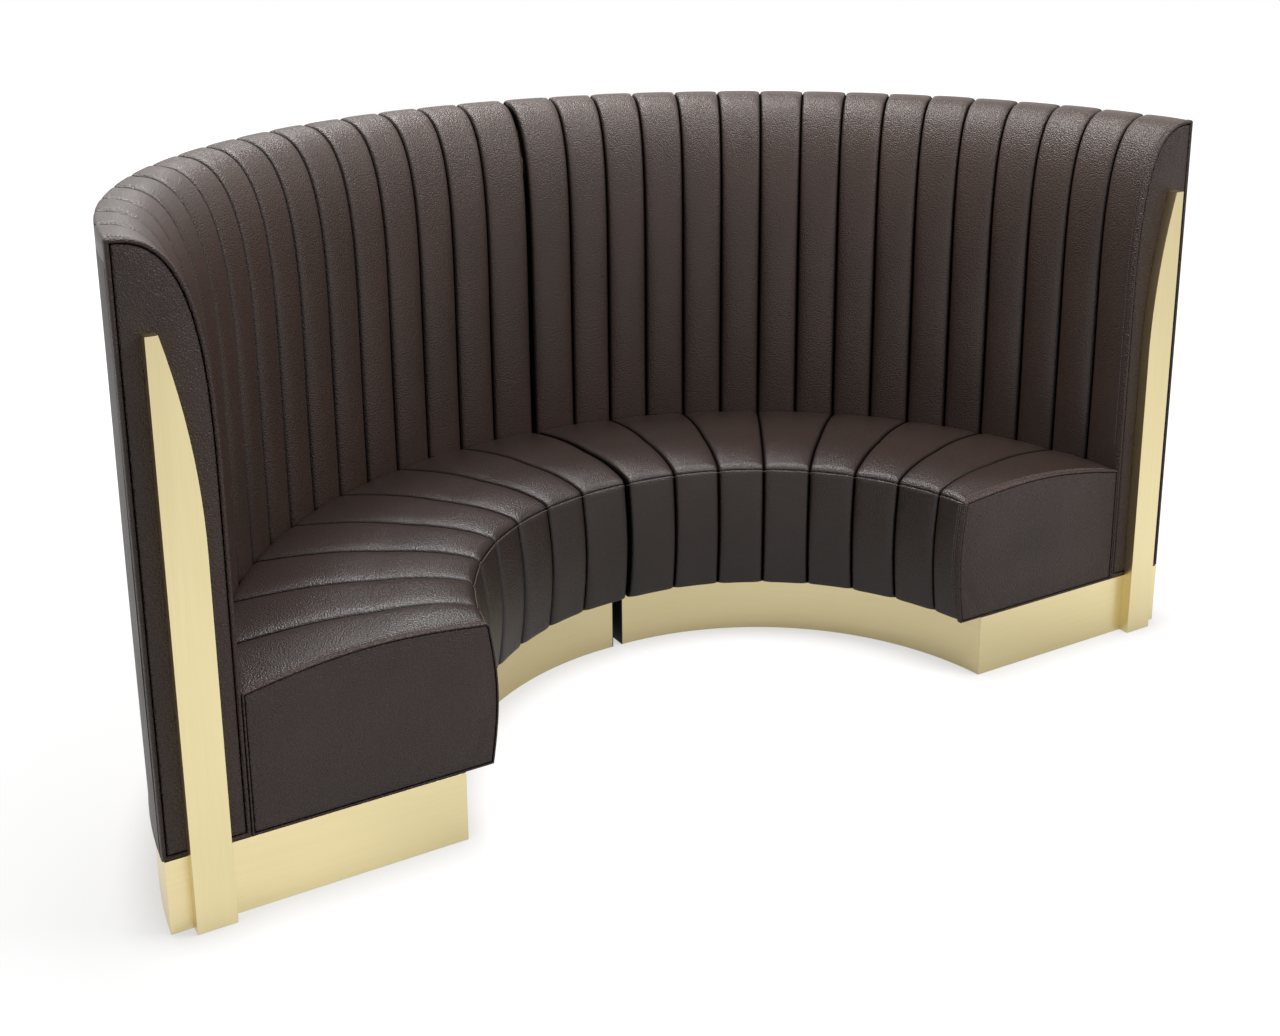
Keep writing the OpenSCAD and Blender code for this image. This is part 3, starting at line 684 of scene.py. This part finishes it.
def seat_side_outline():
    def at_end(r):
        return math.sqrt(r * r - BODY_END ** 2)
    x1 = BACK_SIDE_X - 2 * SOFT
    pts = []
    for v in np.linspace(0, 0.95, 20):
        r, z = seat_front(v)
        pts.append((at_end(r), z))
    r0, z0 = seat_front(0.95)
    r2, z2 = seat_top(0.025)
    r1, z1 = SEAT_FRONT_R - 1.5, SEAT_EDGE_Z + 2.0
    for t in np.linspace(0, 1, 9)[1:-1]:
        r = (1 - t) ** 2 * r0 + 2 * t * (1 - t) * r1 + t * t * r2
        z = (1 - t) ** 2 * z0 + 2 * t * (1 - t) * z1 + t * t * z2
        pts.append((at_end(r), z))
    for u in np.linspace(0.025, 0.99, 40):
        r, z = seat_top(u)
        if at_end(r) < x1 - 3:
            pts.append((at_end(r), z))
    pts.append((x1 - 1.5, SEAT_REAR_Z + 1.0))
    pts.append((x1, SEAT_REAR_Z - 1.0))
    pts += [(x1, z) for z in np.linspace(SEAT_REAR_Z - 12, BOTTOM, 16)]
    pts += [(x, BOTTOM) for x in np.linspace(x1, pts[0][0], 20)[1:-1]]
    return np.array(pts)


def close_bottom(pts, count):
    """The outline with points along the straight edge between its last and its first point."""
    a, b = pts[-1], pts[0]
    extra = [mix(a, b, t) for t in np.linspace(0, 1, count + 1)[1:-1]]
    return np.concatenate([pts, np.array(extra)])


def inset_ring(pts, d):
    """Outline drawn in by d, with mitred corners limited to twice d."""
    nxt = np.roll(pts, -1, 0)
    prv = np.roll(pts, 1, 0)
    e1 = (pts - prv) / np.linalg.norm(pts - prv, axis=1)[:, None]
    e2 = (nxt - pts) / np.linalg.norm(nxt - pts, axis=1)[:, None]
    area = 0.5 * np.sum(pts[:, 0] * nxt[:, 1] - nxt[:, 0] * pts[:, 1])
    turn = 1 if area > 0 else -1
    n1 = turn * np.stack([-e1[:, 1], e1[:, 0]], -1)
    n2 = turn * np.stack([-e2[:, 1], e2[:, 0]], -1)
    m = n1 + n2
    m /= np.linalg.norm(m, axis=1)[:, None]
    c = np.clip(np.sum(m * n1, axis=1), 0.5, 1)
    return pts + m * (d / c)[:, None]


def densify(pts, step):
    out = []
    for a, b in zip(pts, np.roll(pts, -1, 0)):
        n = max(1, math.ceil(np.linalg.norm(b - a) / step))
        out += [mix(a, b, k / n) for k in range(n)]
    return np.array(out)


def edge_distance(q, pts):
    """Distance from each point of q to the closed outline."""
    ab = np.roll(pts, -1, 0) - pts
    t = np.clip(((q[:, None] - pts) * ab).sum(-1) / (ab * ab).sum(-1), 0, 1)
    return np.linalg.norm(q[:, None] - (pts + t[..., None] * ab), axis=-1).min(1)


def inside(q, pts):
    """Even-odd test of points q against the closed outline."""
    x0, y0 = pts[:, 0], pts[:, 1]
    x1, y1 = np.roll(x0, -1), np.roll(y0, -1)
    x, y = q[:, :1], q[:, 1:]
    spans = (y0 > y) != (y1 > y)
    with np.errstate(divide="ignore", invalid="ignore"):
        cross = x < (x1 - x0) * (y - y0) / (y1 - y0) + x0
    return (spans & cross).sum(1) % 2 == 1


def inset_loop(pts, d):
    """The outline drawn in by d, without the points that a tight corner would fold over."""
    if d == 0:
        return pts
    q = inset_ring(pts, d)
    return q[(edge_distance(q, pts) > d - 0.03) & inside(q, pts)]


def end_face(outline, rings, grid, profile, puff=0.0, pillar=None):
    """Upholstered end face between the first ring and the last one, or filled where `grid` is a
    spacing. `profile` gives how far the skin lies behind the end plane at each distance from the
    outline. A face with `puff` is blown up that far at most, and lies flat beside the pillar."""
    loops = [inset_loop(outline, d) for d in rings]
    pts = np.concatenate(loops)
    bounds = [np.arange(len(loops[0]))]
    if grid:
        lo, hi = outline.min(0), outline.max(0)
        x, y = np.meshgrid(np.arange(lo[0], hi[0], grid), np.arange(lo[1], hi[1], grid))
        q = np.stack([x.ravel() + 0.13 * (y.ravel() % 7), y.ravel()], -1)
        q = q[inside(q, outline)]
        pts = np.concatenate([pts, q[edge_distance(q, outline) > rings[-1] + grid * 0.4]])
    else:
        bounds.append(np.arange(len(loops[-1])) + sum(len(q) for q in loops[:-1]))
    edges = [(int(a), int(b)) for loop in bounds for a, b in zip(loop, np.roll(loop, -1))]
    verts, _, tris, _, _, _ = delaunay_2d_cdt([Vector(q) for q in pts], edges, [], 0, 1e-4)
    flat = np.array([(v.x, v.y) for v in verts])
    tris = np.array([list(t) for t in tris])
    mid = flat[tris].mean(1)
    keep = inside(mid, loops[0])
    if not grid:
        keep &= ~inside(mid, loops[-1])
    tris = tris[keep]
    used = np.unique(tris)
    remap = np.zeros(len(flat), int)
    remap[used] = np.arange(len(used))
    flat, tris = flat[used], remap[tris]
    turn = np.cross(flat[tris[:, 1]] - flat[tris[:, 0]], flat[tris[:, 2]] - flat[tris[:, 0]])
    tris[turn < 0] = tris[turn < 0][:, ::-1]
    dist = edge_distance(flat, outline)
    y = END_Y + np.interp(dist, *profile)
    if puff:
        skin = np.stack([flat[:, 0], y, flat[:, 1]], -1)
        moves = inflate(skin, tris.tolist(), np.flatnonzero(dist < rings[-2]), PAD_SLACK)
        clear = np.array([pillar.find_nearest(Vector(q))[3] for q in to_world(skin, 1)]) * 1000
        swell = -puff * np.tanh(np.abs(moves[:, 1]) / puff)
        wave = PAD_WAVE * np.sin(flat[:, 0] / 37 + flat[:, 1] / 59) * (dist > 20)
        y = y + (swell + wave) * smooth((clear - 1) / PILLAR_FADE)
    count = len(flat)
    front = np.stack([flat[:, 0], y, flat[:, 1]], -1)
    rear = np.stack([flat[:, 0], np.full(count, BODY_END), flat[:, 1]], -1)
    faces = tris.tolist() + [[a + count, c + count, b + count] for a, b, c in tris.tolist()]
    sides = {}
    for a, b, c in tris.tolist():
        for e in ((a, b), (b, c), (c, a)):
            if (e[1], e[0]) in sides:
                del sides[(e[1], e[0])]
            else:
                sides[e] = True
    faces += [[b, a, a + count, b + count] for a, b in sides]
    # Painted shade in the crease between the roll and the pad.
    crease = np.exp(-((dist - (rings[-1] if not grid else rings[0])) / CREASE_SHADE_REACH) ** 2)
    return np.concatenate([front, rear]), faces, np.concatenate([crease, crease])


ROLL_ACROSS = np.array([0.0, 0.035, 0.116, 0.256, 0.442, 0.651, 0.814, 0.93, 1.0])
ROLL_DEPTH = np.array([0.62, 0.36, 0.16, 0.04, 0.0, 0.05, 0.17, 0.38, 0.72])
PAD_ACROSS = np.array([0.0, 0.3, 1.0, 2.4, 4.6, 8.0, 15.0, 30.0])
PAD_DEPTH = np.array([0.8, 0.52, 0.3, 0.16, 0.08, 0.03, 0.0, 0.0])


def end_forms(outline, width, puff, pillar):
    """The roll of the given width along the edge, and the pad inside it."""
    outline = densify(outline, OUTLINE_STEP)
    roll_profile = (ROLL_ACROSS * width, ROLL_DEPTH * width + 0.2)
    pad_profile = (PAD_ACROSS + width + 0.5, PAD_DEPTH * width + 0.3)
    roll = end_face(outline, roll_profile[0], 0, roll_profile)
    pad = end_face(outline, pad_profile[0][:7], PAD_GRID, pad_profile, puff, pillar)
    return roll, pad


# Threads
def stitch_piece(name, side, paths, length=4.6, gap=1.6, radius=0.58, lift=0.18):
    """Short threads along paths, each of which is (points, outward directions)."""
    points, faces = [], []
    sides, rings = 6, 5
    for path, outward in paths:
        path, outward = np.array(path, float), np.array(outward, float)
        steps = np.linalg.norm(np.diff(path, axis=0), axis=1)
        along = np.concatenate([[0], np.cumsum(steps)])
        at = 2.0
        while at + length < along[-1] - 2.0:
            t = at + length * np.array([0.0, 0.12, 0.5, 0.88, 1.0])
            c = np.stack([np.interp(t, along, path[:, i]) for i in range(3)], -1)
            o = np.array([np.interp(at + length / 2, along, outward[:, i]) for i in range(3)])
            o /= np.linalg.norm(o)
            d = c[-1] - c[0]
            d /= np.linalg.norm(d)
            w = np.cross(o, d)
            w /= np.linalg.norm(w)
            o = np.cross(d, w)
            rise = radius * np.array([-1.2, 0.3, 0.9, 0.3, -1.2]) + lift
            size = radius * np.array([0.45, 0.95, 1.0, 0.95, 0.45])
            base = len(points)
            for q, h, s in zip(c, rise, size):
                for a in np.radians(np.arange(sides) * 360 / sides):
                    points.append(q + o * (h + s * math.sin(a)) + w * (s * 1.15 * math.cos(a)))
            faces += [[base + i for i in f] for f in loft_faces(rings, sides)]
            faces.append([base + j for j in reversed(range(sides))])
            faces.append([base + (rings - 1) * sides + j for j in range(sides)])
            at += length + gap
    return make_piece(name, side, points, faces, thread, sharp=80)


# The outer back: leather over felt on the bent sheet
COVER_SEAM = math.radians(46)
# Spread in radians of the painted shade along the cover's upright seam.
COVER_SEAM_SHADE_SPREAD = 0.0017
COVER_DENT, COVER_DENT_SPREAD = 2.2, 0.0016
THREAD_LIFT = 0.9


def outer_cover(name, side, node_name):
    """Makes the cover with its one upright seam, and returns the paths of its stitches."""
    seam = COVER_SEAM
    beside = [0.0008, 0.0018, 0.003, 0.005, 0.009]
    seam_offsets = [-d for d in reversed(beside)] + [0] + beside
    a0, a1 = float(joint_angle(OUTER_R)), float(end_angle(OUTER_R))
    angles = np.concatenate([[a0, a0 + 0.0015, a0 + 0.004], np.linspace(a0 + 0.01, seam - 0.02, 46),
                             [seam + d for d in seam_offsets],
                             np.linspace(seam + 0.02, a1 - 0.002, 46), [a1]])
    rows = [(-COVER_T, BOTTOM), (-1.6, BOTTOM), (-0.4, BOTTOM + 0.8), (0.2, BOTTOM + 2.4),
            (0.5, BOTTOM + 6)]
    rows += [(0.8, z) for z in np.linspace(BOTTOM + 14, RAIL_TOP - 12, 40)]
    rows += [(0.4, RAIL_TOP - 4), (0, RAIL_TOP), (-COVER_T, RAIL_TOP)]
    rings = []
    # Painted shade along the upright seam.
    share = np.repeat(np.exp(-((angles - seam) / COVER_SEAM_SHADE_SPREAD) ** 2), len(rows))
    for a in angles:
        dent = COVER_DENT * math.exp(-((a - seam) / COVER_DENT_SPREAD) ** 2)
        ends = min(1.0, (a - a0) / 0.004)
        ring = []
        for d, z in rows:
            wave = 0.35 * math.sin(z / 170 + 3 * a) + 0.3 * math.sin(9 * a + z / 260)
            r = OUTER_R + (d if d < 0 else (d + wave - dent) * ends)
            ring.append((r * math.sin(a), r * math.cos(a), z))
        rings.append(ring)
    rings = np.array(rings)
    faces = loft_faces(len(angles), len(rows))
    faces.append(list(range(len(rows))))
    faces.append([(len(angles) - 1) * len(rows) + j for j in reversed(range(len(rows)))])
    make_piece(name, side, rings, faces, leather_taut, sharp=60,
               replaces=(node_name,), seam=share)
    paths = []
    r = OUTER_R + THREAD_LIFT
    for d in (-0.0045, 0.0045):
        a = seam + d
        zs = np.linspace(BOTTOM + 8, RAIL_TOP - 6, 60)
        paths.append(([(r * math.sin(a), r * math.cos(a), z) for z in zs],
                      [(math.sin(a), math.cos(a), 0)] * 60))
    hem = np.linspace(a0 + 0.01, a1 - 0.01, 200)
    paths.append(([(r * math.sin(a), r * math.cos(a), BOTTOM + 12) for a in hem],
                  [(math.sin(a), math.cos(a), 0) for a in hem]))
    return paths


# Pillars with eased edges
def eased_copy(name, node_name, material, width=0.0011):
    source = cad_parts[node_name]
    mesh = source.data.copy()
    mesh.name = name
    bm = bmesh.new()
    bm.from_mesh(mesh)
    bmesh.ops.remove_doubles(bm, verts=bm.verts, dist=1e-6)
    bmesh.ops.dissolve_limit(bm, angle_limit=math.radians(0.5), verts=bm.verts, edges=bm.edges)
    corner = math.radians(30)
    edges = [e for e in bm.edges if len(e.link_faces) == 2 and e.calc_face_angle() > corner]
    bmesh.ops.bevel(bm, geom=edges, offset=width, segments=3, profile=0.6, affect="EDGES",
                    clamp_overlap=True)
    bmesh.ops.recalc_face_normals(bm, faces=bm.faces)
    bm.to_mesh(mesh)
    bm.free()
    mesh.shade_smooth()
    mesh.set_sharp_from_angle(angle=math.radians(35))
    mesh.materials.clear()
    mesh.materials.append(material)
    obj = bpy.data.objects.new(name, mesh)
    bpy.context.scene.collection.objects.link(obj)
    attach(obj, "root")
    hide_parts(node_name)
    return obj


# Build both modules
BACK_END_FULL, SEAT_END_FULL = 0.8, 0.7
BACK_ROLL, BACK_PUFF = 9.0, 6.0
SEAT_ROLL, SEAT_PUFF = 4.6, 5.0
BACK_STITCHES, SEAT_STITCHES = (6.0, 12.0), (5.0, 10.0)
back_outline, back_inner = back_rows()
seat_outline, seat_inner, crease_row = seat_rows()
back = Cushion(back_outline, back_inner, CHANNELS, CHANNEL_ANGLE, BACK_GROOVE,
               BACK_END_FULL, 0, len(back_outline) - 8)
seat = Cushion(seat_outline, seat_inner, CHANNELS // 2, 2 * CHANNEL_ANGLE, SEAT_GROOVE,
               SEAT_END_FULL, 3, len(seat_outline) - 3, (crease_row,))
pillar_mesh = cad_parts["right_end_pillar"].data
pillar_tree = BVHTree.FromPolygons([v.co for v in pillar_mesh.vertices],
                                   [p.vertices for p in pillar_mesh.polygons])
back_end = end_forms(close_bottom(back_side_outline(), 14), BACK_ROLL, BACK_PUFF, pillar_tree)
seat_end = end_forms(seat_side_outline(), SEAT_ROLL, SEAT_PUFF, pillar_tree)
back_run = range(6, len(back_outline) - 12)
seat_runs = (range(crease_row + 2, len(seat_outline) - 4), range(4, crease_row - 2))
end_stitches = {"back": [back.end_path(back_run, d) for d in BACK_STITCHES],
                "seat": [seat.end_path(rows, d) for rows in seat_runs for d in SEAT_STITCHES]}
edge_line = seat.cross_path(crease_row - 4)

for label, side in (("left", -1), ("right", 1)):
    for part, cushion, (roll, pad), hide in (("back", back, back_end, leather),
                                             ("seat", seat, seat_end, leather_seat_painted_shade)):
        whole = f"{label}_{part}"
        for piece, form, material, sharp, fill, node_name in (
                ("padding", cushion.solid(), hide, 55, 0.85, "cushion"),
                ("end_roll", roll, leather_grained, 60, 0.95, "end_welt"),
                ("end_pad", pad, leather_grained, 60, 0.6, "end_panel")):
            points, faces, seam = form
            make_piece(f"{whole}_{piece}", side, points, faces, material, sharp=sharp,
                       replaces=(f"{whole}_{node_name}",), seam=seam)
        stitch_piece(f"{label}_{part}_end_stitches", side, end_stitches[part])
    stitch_piece(f"{label}_seat_edge_stitches", side, [edge_line], length=4.2, gap=1.8, radius=0.55)
    stitch_piece(f"{label}_outer_stitches", side, outer_cover(f"{label}_outer_leather", side,
                                                             f"{label}_back_outer_cover"))
    eased_copy(f"{label}_pillar_bar", f"{label}_end_pillar", brass_upright)

# Finishes on all CAD nodes, also on those that a piece replaces
for name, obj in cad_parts.items():
    if "fascia" in name or "end_plate" in name:
        finish = brass_level
    elif "joint_plate" in name or "spacers" in name:
        finish = black
    elif "foot" in name or "screws" in name or "bolts" in name:
        finish = steel
    elif "cushion" in name or "cover" in name or "welt" in name or "end_panel" in name:
        finish = leather
    elif "pillar" in name:
        finish = brass_upright
    else:
        finish = plywood
    obj.data.materials.clear()
    obj.data.materials.append(finish)

# Floor: levels below are pairs of a distance in metres and the glow there
FLOOR_HALF = 9.0
FLOOR_TONE = 0.27
SEEN_NEAR, SEEN_FAR = (1.3, 0.78), (3.2, 1.0)
MIRRORED_SHARE = 0.77
# The floor's glow as mirrored is weaker near this centre: a painted shade in the reflections of the
# parts that face the middle.
MIRRORED_NEAR, MIRRORED_FAR = (0.6, 0.37), (1.4, 0.79)
MIRRORED_CENTRE = (0.3, -0.2, 0)
FLOOR_DROP = 0.0004
# Reach in metres of the painted contact shadow on the floor.
CONTACT_REACH = 0.09
floor_mesh = bpy.data.meshes.new("floor")
corners = [(x * FLOOR_HALF, y * FLOOR_HALF, 0) for x, y in ((-1, -1), (1, -1), (1, 1), (-1, 1))]
floor_mesh.from_pydata(corners, [], [(0, 1, 2, 3)])
floor = bpy.data.objects.new("floor", floor_mesh)
floor.location.z = -FLOOR_DROP
bpy.context.scene.collection.objects.link(floor)


def eased_range(nodes, links, distance, near, far):
    """Level that goes smoothly from near's to far's; each is (distance, level)."""
    level = nodes.new("ShaderNodeMapRange")
    level.interpolation_type = "SMOOTHSTEP"
    for place, value in zip(("From Min", "To Min", "From Max", "To Max"), (*near, *far)):
        level.inputs[place].default_value = value
    links.new(distance, level.inputs["Value"])
    return level.outputs["Result"]


def mirrored_ray(nodes, links, path):
    return math_node(nodes, links, "MAXIMUM", path.outputs["Is Glossy Ray"],
                     path.outputs["Is Transmission Ray"])


m, nodes, links = new_material("floor_white")
out = nodes.new("ShaderNodeOutputMaterial")
plain = node(nodes, "ShaderNodeBsdfDiffuse", Color=grey(FLOOR_TONE))
spot = nodes.new("ShaderNodeTexCoord")
reach = node(nodes, "ShaderNodeVectorMath", operation="LENGTH")
links.new(spot.outputs["Object"], reach.inputs[0])
lift = eased_range(nodes, links, reach.outputs["Value"], SEEN_NEAR, SEEN_FAR)
# Mirrored rays see a weaker glow near the middle, a painted shade in reflections.
aside = node(nodes, "ShaderNodeVectorMath", operation="DISTANCE")
links.new(spot.outputs["Object"], aside.inputs[0])
aside.inputs[1].default_value = MIRRORED_CENTRE
inward = eased_range(nodes, links, aside.outputs["Value"], MIRRORED_NEAR, MIRRORED_FAR)
path = nodes.new("ShaderNodeLightPath")
strength = math_node(nodes, links, "ADD",
                     math_node(nodes, links, "MULTIPLY", lift, path.outputs["Is Camera Ray"]),
                     math_node(nodes, links, "MULTIPLY", inward, mirrored_ray(nodes, links, path)))
glow = nodes.new("ShaderNodeEmission")
# Painted contact shadow: ambient occlusion darkens the floor's glow beside the object.
near = node(nodes, "ShaderNodeAmbientOcclusion", Distance=CONTACT_REACH, samples=8)
painted_contact_shadow = ramp(nodes, links, near.outputs["AO"], [(0.45, grey(0.72)), (1.0, grey(1.0))])
links.new(painted_contact_shadow, glow.inputs["Color"])
links.new(strength, glow.inputs["Strength"])
lifted = nodes.new("ShaderNodeAddShader")
links.new(plain.outputs[0], lifted.inputs[0])
links.new(glow.outputs[0], lifted.inputs[1])
links.new(lifted.outputs[0], out.inputs["Surface"])
floor_mesh.materials.append(m)

# World: seen and mirrored as white, and lighting the object softly from above
SKY_LOW, SKY_HIGH = 0.15, 0.58
world = bpy.data.worlds.new("studio")
bpy.context.scene.world = world
world.use_nodes = True
nodes, links = world.node_tree.nodes, world.node_tree.links
nodes.clear()
out = nodes.new("ShaderNodeOutputWorld")
coords = nodes.new("ShaderNodeTexCoord")
split = nodes.new("ShaderNodeSeparateXYZ")
links.new(coords.outputs["Generated"], split.inputs[0])
level = nodes.new("ShaderNodeMapRange")
level.inputs["From Min"].default_value = -0.1
level.inputs["From Max"].default_value = 1.0
level.inputs["To Min"].default_value = SKY_LOW
level.inputs["To Max"].default_value = SKY_HIGH
links.new(split.outputs["Z"], level.inputs["Value"])
soft = node(nodes, "ShaderNodeBackground", Color=(1, 1, 1, 1))
links.new(level.outputs[0], soft.inputs["Strength"])
white = node(nodes, "ShaderNodeBackground", Color=(1, 1, 1, 1), Strength=1.0)
path = nodes.new("ShaderNodeLightPath")
mirrored = math_node(nodes, links, "MULTIPLY", mirrored_ray(nodes, links, path), MIRRORED_SHARE)
seen = math_node(nodes, links, "MAXIMUM", path.outputs["Is Camera Ray"], mirrored)
choice = nodes.new("ShaderNodeMixShader")
links.new(seen, choice.inputs[0])
links.new(soft.outputs[0], choice.inputs[1])
links.new(white.outputs[0], choice.inputs[2])
links.new(choice.outputs[0], out.inputs["Surface"])


# Lamps
def area_lamp(name, place, target, size, watts):
    data = bpy.data.lights.new(name, "AREA")
    data.shape = "SQUARE"
    data.size = size
    data.energy = watts
    obj = bpy.data.objects.new(name, data)
    obj.location = place
    obj.rotation_euler = (Vector(target) - Vector(place)).to_track_quat("-Z", "Y").to_euler()
    bpy.context.scene.collection.objects.link(obj)


area_lamp("front_lamp", (1.35, -1.8, 3.3), (-0.2, 0.1, 0.7), 1.3, 54)
area_lamp("top_lamp", (0.1, -0.3, 3.6), (0, 0, 0.5), 1.15, 50)
area_lamp("rear_lamp", (0.1, 1.45, 3.7), (0, 0, 0.5), 1.2, 86)

# Camera
CAMERA_PLACE = (-1.7856, -3.2273, 1.8527)
YAW, PITCH = 0.5459, 0.2671
FOCAL_PX, SHIFT_PX = 1633.79, (40.0, -200.0)
IMAGE_W = 1280.0
SENSOR_W = 36.0
camera = bpy.data.cameras.new("camera")
camera.sensor_fit = "HORIZONTAL"
camera.sensor_width = SENSOR_W
camera.lens = FOCAL_PX / IMAGE_W * SENSOR_W
camera.shift_x = -SHIFT_PX[0] / IMAGE_W
camera.shift_y = SHIFT_PX[1] / IMAGE_W
camera.clip_end = 60
ahead = Vector((math.sin(YAW) * math.cos(PITCH), math.cos(YAW) * math.cos(PITCH), -math.sin(PITCH)))
right_axis = ahead.cross(Vector((0, 0, 1))).normalized()
up_axis = right_axis.cross(ahead)
turn = Matrix((right_axis, up_axis, -ahead)).transposed().to_4x4()
camera_obj = bpy.data.objects.new("camera", camera)
camera_obj.matrix_world = Matrix.Translation(CAMERA_PLACE) @ turn
bpy.context.scene.collection.objects.link(camera_obj)
bpy.context.scene.camera = camera_obj

bpy.context.scene.view_settings.view_transform = "Standard"
